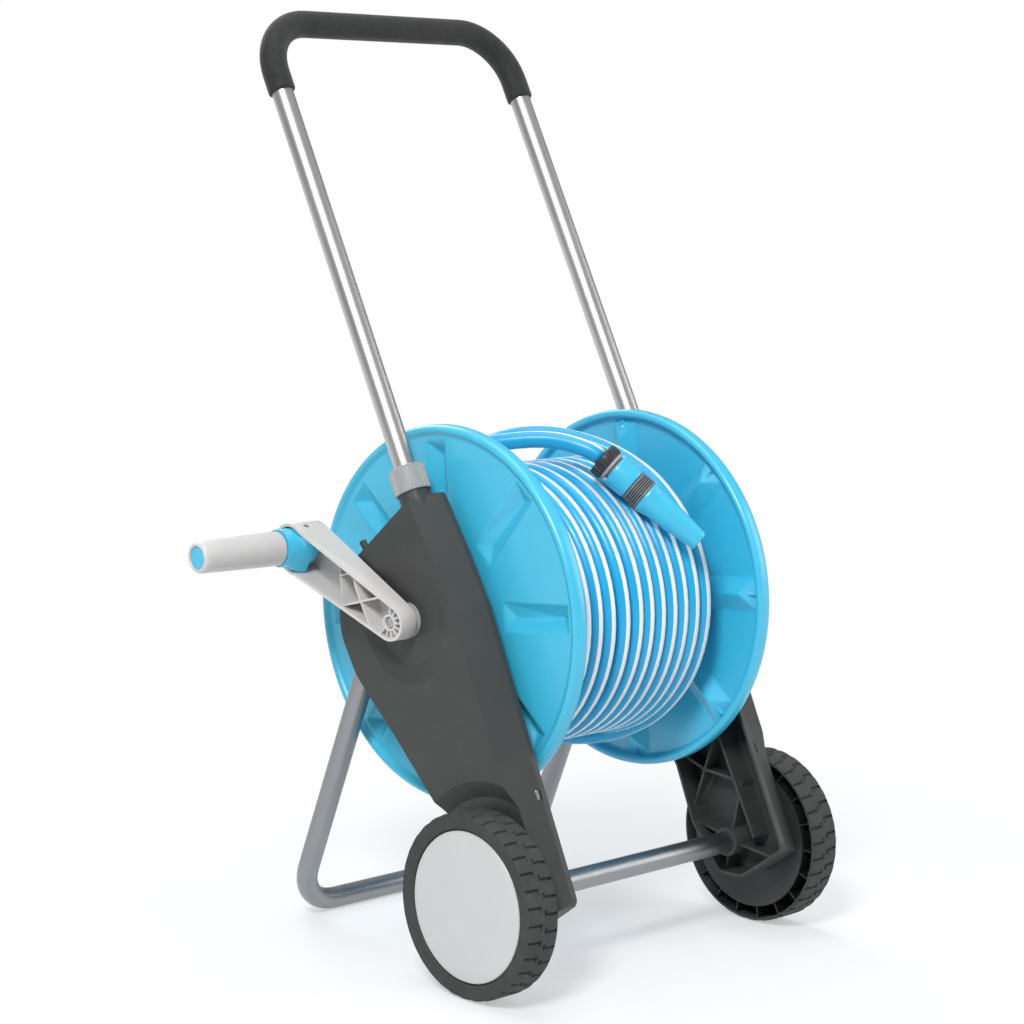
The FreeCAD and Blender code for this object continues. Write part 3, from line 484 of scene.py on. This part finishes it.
def build_flange(name, side, offset, node):
    n_t = 720
    half = []
    for r in np.linspace(20, 76, 8):
        half.append(("o", r, 134.0))
    for r in np.linspace(79, 176, 62):
        half.append(("o", r, 134.0))
    bead = [(178.0, 134.9), (179.4, 136.3), (180.8, 137.9), (182.4, 138.8), (184.2, 138.7), (186.0, 137.5), (187.2, 135.6), (187.9, 133.2), (188.0, 129.0),
            (187.9, 126.2), (187.3, 124.2), (186.0, 122.8), (184.4, 122.1), (182.4, 122.2), (180.8, 123.2), (179.6, 125.2), (178.9, 127.6), (178.2, 129.8)]
    prof = half + [("b", r, h) for r, h in bead]
    for r in np.linspace(176.5, 79, 62):
        prof.append(("i", r, 131.0))
    for r in np.linspace(76, 20, 8):
        prof.append(("i", r, 131.0))
    k = len(prof)
    kind = np.array([{"o": 0, "b": 1, "i": 2}[p[0]] for p in prof])
    rr = np.array([p[1] for p in prof])
    hh = np.array([p[2] for p in prof])
    th = np.arange(n_t) * 2 * math.pi / n_t
    R, T = np.meshgrid(rr, th)
    H = np.tile(hh, (n_t, 1))
    step = 2 * math.pi / 8
    ang = (T - math.radians(offset) + step / 2) % step - step / 2
    X, Y = R * np.cos(ang), R * np.sin(ang)
    d_out = hip(X, Y, 84.0, 14.5, 172.5, 41.0, 111.5, 158.0, 11.3, 0.6)
    d_in = hip(X, Y, 81.5, 17.0, 176.0, 44.5, 110.5, 159.5, 10.9, 0.6)
    fin = 6.0 * np.clip(1 - np.abs(Y) / 1.1, 0, 1) ** 0.5 * np.clip((X - 150) / 6, 0, 1) * np.clip((181 - X) / 3, 0, 1)
    H = np.where(kind == 0, H - d_out, H)
    H = np.where(kind == 2, H - np.maximum(d_in, np.where(X > 150, fin, 0)), H)
    x = side * H
    y = HUB_Y + R * np.cos(T)
    z = HUB_Z + R * np.sin(T)
    if side < 0:
        y = HUB_Y + R * np.cos(T)
    verts = np.stack([(x + SX) / 1000, (y + SY) / 1000, z / 1000], -1).reshape(-1, 3)
    faces = []
    for j in range(n_t):
        j2 = (j + 1) % n_t
        for i in range(k):
            i2 = (i + 1) % k
            faces.append((j * k + i, j * k + i2, j2 * k + i2, j2 * k + i))
    o = add_mesh(name, verts, faces, [M["reel_blue"]])
    fix_normals(o)
    o.data.set_sharp_from_angle(angle=math.radians(50))
    return finish_piece(o, "reel", "reel_blue", node)


build_flange("flange_disc_right", 1, 40.0, "reel_flange_right")
build_flange("flange_disc_left", -1, 38.8, "reel_flange_left")
for side, tag in ((-1, "left"), (1, "right")):
    o = lathe("flange_hub_" + tag, [(0, 14.2), (0, 23.0), (1.0, 24.0), (8.5, 24.0), (10.5, 26.5), (10.5, 14.2)], P(side * 141.0, HUB_Y, HUB_Z), (-side, 0, 0), [M["reel_blue"]], n=96)
    finish_piece(o, "reel", "reel_blue")


# ------------------------------------------------------------------ tyres with block tread
def build_tyre(name, side, body, node):
    count = 34
    n_t = count * 22
    prof = []
    x0, x1 = 183.6, 220.4
    w = x1 - x0
    for r in np.linspace(86.3, 88.4, 3):
        prof.append((x0, r, 0))
    us = np.concatenate([[0.012, 0.03, 0.055], np.linspace(0.08, 0.92, 40), [0.945, 0.97, 0.988]])
    for u in us:
        e = min(u, 1 - u) * w
        drop = 1.5 * max(0.0, 1 - e / 4.0) ** 2
        prof.append((x0 + u * w, 90.0 - drop, 1))
    for x, r in [(220.4, 88.2), (220.3, 87.3), (219.9, 85.0), (219.6, 81.0), (219.6, 77.4), (219.2, 75.4), (218.2, 74.3), (217.3, 74.3), (217.3, 86.3)]:
        prof.append((x, r, 0))
    k = len(prof)
    X = np.array([p[0] for p in prof])
    R = np.array([p[1] for p in prof])
    on = np.array([p[2] for p in prof])
    th = np.arange(n_t) * 2 * math.pi / n_t
    U = np.tile((X - x0) / w, (n_t, 1))
    T = np.tile(th[:, None], (1, k))
    pitch = 2 * math.pi / count
    arc_mm = 90 * pitch

    def groove(u0, u1, shift, half, slope=0.0):
        a = ((T / pitch + shift + slope * (U - u0)) % 1.0 - 0.5) * arc_mm
        across = np.clip((half - np.abs(a)) / 0.7 + 0.5, 0, 1)
        lo = np.clip((U - u0) * w / 0.8 + 0.5, 0, 1) if u0 > 0 else np.ones_like(U)
        hi = np.clip((u1 - U) * w / 0.8 + 0.5, 0, 1) if u1 < 1 else np.ones_like(U)
        return across * lo * hi

    g = groove(0, 0.47, 0.0, 1.15, 0.1)
    g = np.maximum(g, groove(0.40, 0.47, 0.13, 2.6, 0.0))
    g = np.maximum(g, groove(0.56, 1.0, 0.5, 1.15, 0.1))
    g = np.maximum(g, groove(0.56, 0.63, 0.37, 2.6, 0.0))
    edge = np.clip(1 - np.minimum(U, 1 - U) * w / 6.0, 0, 1)
    scallop = 0.9 * edge * np.maximum(0, np.cos(T * count * 1.0 + np.where(U < 0.5, math.pi, 0)) * 0.5 + 0.2)
    D = np.where(on == 1, 2.7 * g + 1.5 * scallop, 0.0)
    Rr = np.tile(R, (n_t, 1)) - D
    y = WHEEL_Y + Rr * np.cos(T)
    z = WHEEL_R + Rr * np.sin(T)
    x = side * np.tile(X, (n_t, 1))
    verts = np.stack([(x + SX) / 1000, (y + SY) / 1000, z / 1000], -1).reshape(-1, 3)
    faces = []
    for j in range(n_t):
        j2 = (j + 1) % n_t
        for i in range(k):
            i2 = (i + 1) % k
            faces.append((j * k + i, j * k + i2, j2 * k + i2, j2 * k + i))
    o = add_mesh(name, verts, faces, [M["tyre_rubber"]])
    fix_normals(o)
    o.data.set_sharp_from_angle(angle=math.radians(38))
    return finish_piece(o, body, "tyre_rubber", node)


for side, tag in ((-1, "left"), (1, "right")):
    build_tyre("tread_" + tag, side, "wheel_" + tag, "tyre_" + tag)
    o = lathe("hub_cover_" + tag, [(2.9, 0.02), (2.95, 20), (2.85, 50), (2.6, 66), (2.3, 70.5), (1.7, 72.3), (0.8, 73.0), (0.1, 73.0), (0.1, 70.6), (-3.0, 70.6), (-3.0, 68.2), (0.1, 68.2), (0.1, 0.02)],
              P(side * 217.3, WHEEL_Y, WHEEL_R), (side, 0, 0), [M["cap_grey"]], n=180, sharp=25)
    finish_piece(o, "wheel_" + tag, "cap_grey", "hub_cap_" + tag)


# ------------------------------------------------------------------ handle: tube grip, swept with rounded ends
HD = Vector((0, 0.471, 0.882)).normalized()


def on_handle(side, s):
    return P(side * 166.5, -44 + HD.y * s, 466 + HD.z * s)


def u_path(side_x, top, start, bend, step=4.0):
    """Centre line of the handle's U in (x, s), from one leg over the top to the other."""
    pts = []
    s = start
    n = max(2, int((top - bend - start) / step))
    for i in range(n):
        pts.append((-side_x, start + (top - bend - start) * i / n, (0, 1)))
    for i in range(17):
        a = math.pi - (math.pi / 2) * i / 16
        pts.append((-side_x + bend + bend * math.cos(a), top - bend + bend * math.sin(a), (math.sin(a), -math.cos(a))))
    n = int((2 * (side_x - bend)) / step)
    for i in range(1, n):
        pts.append((-side_x + bend + 2 * (side_x - bend) * i / n, top, (1, 0)))
    for i in range(17):
        a = math.pi / 2 - (math.pi / 2) * i / 16
        pts.append((side_x - bend + bend * math.cos(a), top - bend + bend * math.sin(a), (math.sin(a), -math.cos(a))))
    n = max(2, int((top - bend - start) / step))
    for i in range(1, n + 1):
        pts.append((side_x, top - bend - (top - bend - start) * i / n, (0, -1)))
    return pts


def sweep_u(name, pts, radius, inner, mats, n=40):
    """Sleeve round a planar U path; the ends are rounded and closed down to the inner radius."""
    rings = []
    total = [0]
    for a, b in zip(pts, pts[1:]):
        total.append(total[-1] + math.hypot(b[0] - a[0], b[1] - a[1]))
    end = total[-1]
    for (x, s, d), t in zip(pts, total):
        rings.append((x, s, d, radius))
    first, last = rings[0], rings[-1]
    caps0 = [(-0.0, inner), (-0.0, radius - 2.4), (0.35, radius - 1.2), (1.3, radius - 0.3), (2.6, radius)]
    out_rings = []
    for off, r in caps0:
        out_rings.append((first[0] + first[2][0] * off, first[1] + first[2][1] * off, first[2], r))
    out_rings += [q for q, t in zip(rings, total) if 3.0 < t < end - 3.0]
    for off, r in reversed(caps0):
        out_rings.append((last[0] - last[2][0] * off, last[1] - last[2][1] * off, last[2], r))
    verts, faces = [], []
    nrm = Vector((1, 0, 0)).cross(HD)
    for x, s, d, r in out_rings:
        c = P(x, -44 + HD.y * s, 466 + HD.z * s)
        tdir = Vector((1, 0, 0)) * d[0] + HD * d[1]
        e1 = tdir.cross(nrm).normalized()
        for j in range(n):
            a = 2 * math.pi * j / n
            verts.append(c + (e1 * math.cos(a) + nrm * math.sin(a)) * (r / 1000))
    m = len(out_rings)
    for i in range(m - 1):
        for j in range(n):
            j2 = (j + 1) % n
            faces.append((i * n + j, i * n + j2, (i + 1) * n + j2, (i + 1) * n + j))
    o = add_mesh(name, verts, faces, mats)
    fix_normals(o)
    o.data.set_sharp_from_angle(angle=math.radians(45))
    return o


grip = sweep_u("foam_grip", u_path(166.5, 519.7, 438.8, 59.0), 14.0, 10.9, [M["grip_foam"]])
finish_piece(grip, "handle", "grip_foam", "handle_grip")

# ------------------------------------------------------------------ lock nuts with moulded ribs
for side, tag in ((-1, "left"), (1, "right")):
    prof = [(0.1, 16.4), (0.1, 17.5), (0.6, 18.2), (1.5, 18.6), (24.0, 18.45), (25.6, 17.9), (26.5, 17.0), (26.9, 15.9), (26.9, 12.6), (26.5, 11.7), (23.0, 11.7), (23.0, 16.4)]
    o = lathe("ribbed_nut_" + tag, prof, on_handle(side, 0), HD, [M["nut_grey"]], n=360, offset=ribs(32, 0.95, 0.35, 1.4, 25.0, 18.2), sharp=40)
    finish_piece(o, "lock_nut_" + tag, "nut_grey", "lock_nut_" + tag)

# ------------------------------------------------------------------ crank grip
CA = Vector((0, math.cos(math.radians(24.5)), math.sin(math.radians(24.5))))
E = Vector((0, HUB_Y, HUB_Z)) + CA * 144.5
gprof = [(0, 11.45), (0, 15.6), (0.4, 16.4), (1.3, 16.9), (3, 17.0), (30, 16.9), (60, 16.3), (90, 15.75), (95.5, 15.55), (97.8, 15.0), (99.3, 14.0), (99.95, 12.8), (99.9, 12.0), (99.3, 11.45)]
o = lathe("grip_sleeve", gprof, P(-241, E.y, E.z), (-1, 0, 0), [M["crank_grey"]], n=120, sharp=35)
finish_piece(o, "crank_grip", "crank_grey", "crank_grip")


# ------------------------------------------------------------------ softened edges on the moulded CAD parts
def soften(node, width, angle=40, segments=2):
    o = NODES[node]
    w = o.modifiers.new("weld", "WELD")
    w.merge_threshold = 0.00002
    b = o.modifiers.new("bevel", "BEVEL")
    b.width = width
    b.segments = segments
    b.limit_method = "ANGLE"
    b.angle_limit = math.radians(angle)
    b.harden_normals = False
    b.use_clamp_overlap = True


for node, width in (("side_panel_left", 0.0013), ("side_panel_right", 0.0013), ("crank_arm", 0.0008), ("crank_knuckle", 0.0006), ("crank_nut", 0.0005),
                    ("wheel_core_left", 0.0006), ("wheel_core_right", 0.0006), ("collet_left", 0.0004), ("collet_right", 0.0004), ("accessory_peg", 0.0005)):
    if node in NODES:
        soften(node, width)
    else:
        print("no node", node)


# ------------------------------------------------------------------ floor and light
def plane(name, size, loc, mat):
    s = size
    o = add_mesh(name, [(-s, -s, 0), (s, -s, 0), (s, s, 0), (-s, s, 0)], [(0, 1, 2, 3)], [mat], smooth=False)
    o.location = loc
    return o


k = Mat("floor")
k.link(k.ramp(k.noise(0.8, 3), [(0.3, [0.84, 0.885, 0.915, 1]), (0.7, [0.87, 0.905, 0.93, 1])]), k.b.inputs["Base Color"])
k.b.inputs["Roughness"].default_value = 0.6
k.b.inputs["Specular IOR Level"].default_value = 0.25
far = k.node("ShaderNodeVectorMath", operation="LENGTH")
k.link(k.coord.outputs["Object"], far.inputs[0])
fade = k.node("ShaderNodeMapRange", interpolation_type="SMOOTHSTEP")
fade.inputs["From Min"].default_value = 0.38
fade.inputs["From Max"].default_value = 1.0
fade.inputs["To Min"].default_value = 0.45
k.link(far.outputs["Value"], fade.inputs["Value"])
glow = k.node("ShaderNodeEmission")
glow.inputs["Color"].default_value = (1, 1, 1, 1)
blend = k.node("ShaderNodeMixShader")
k.link(fade.outputs["Result"], blend.inputs["Fac"])
k.link(k.b.outputs["BSDF"], blend.inputs[1])
k.link(glow.outputs["Emission"], blend.inputs[2])
k.link(blend.outputs["Shader"], k.t.nodes["Material Output"].inputs["Surface"])
plane("floor", 14, (0, 0, -0.0004), k.m)

world = bpy.data.worlds.new("studio")
bpy.context.scene.world = world
world.use_nodes = True
wt = world.node_tree
bg = wt.nodes["Background"]
tc = wt.nodes.new("ShaderNodeTexCoord")
sep = wt.nodes.new("ShaderNodeSeparateXYZ")
wt.links.new(tc.outputs["Generated"], sep.inputs[0])
mr = wt.nodes.new("ShaderNodeMapRange")
mr.inputs["From Min"].default_value = -0.3
mr.inputs["From Max"].default_value = 0.7
wt.links.new(sep.outputs["Z"], mr.inputs["Value"])
rp = wt.nodes.new("ShaderNodeValToRGB")
e = rp.color_ramp.elements
e[0].position, e[0].color = 0.0, (0.42, 0.45, 0.48, 1)
e[1].position, e[1].color = 1.0, (1.0, 1.0, 1.0, 1)
wt.links.new(mr.outputs["Result"], rp.inputs["Fac"])
wt.links.new(rp.outputs["Color"], bg.inputs["Color"])
bg.inputs["Strength"].default_value = 0.38
seen = wt.nodes.new("ShaderNodeBackground")
seen.inputs["Color"].default_value = (1, 1, 1, 1)
seen.inputs["Strength"].default_value = 1.0
lp = wt.nodes.new("ShaderNodeLightPath")
mx = wt.nodes.new("ShaderNodeMixShader")
wt.links.new(lp.outputs["Is Camera Ray"], mx.inputs["Fac"])
wt.links.new(bg.outputs["Background"], mx.inputs[1])
wt.links.new(seen.outputs["Background"], mx.inputs[2])
wt.links.new(mx.outputs["Shader"], wt.nodes["World Output"].inputs["Surface"])


def area(name, loc, aim, size, energy, colour=(1, 1, 1), size_y=None):
    ld = bpy.data.lights.new(name, "AREA")
    ld.energy = energy
    ld.color = colour
    ld.size = size
    if size_y:
        ld.shape = "RECTANGLE"
        ld.size_y = size_y
    o = bpy.data.objects.new(name, ld)
    bpy.context.scene.collection.objects.link(o)
    o.location = loc
    o.rotation_mode = "QUATERNION"
    o.rotation_quaternion = (Vector(aim) - Vector(loc)).to_track_quat("-Z", "Y")
    return o


area("key", (-2.6, -1.6, 3.05), (0, 0, 0.4), 1.0, 122)
area("fill", (2.6, -2.2, 1.5), (0, 0, 0.4), 2.0, 34)
area("rim", (0.8, 2.8, 2.4), (0, 0, 0.5), 1.8, 34)
area("top", (0.1, 0.2, 3.4), (0, 0, 0), 1.8, 30)

sc = bpy.context.scene
sc.view_settings.view_transform = "Standard"
sc.view_settings.look = "None"
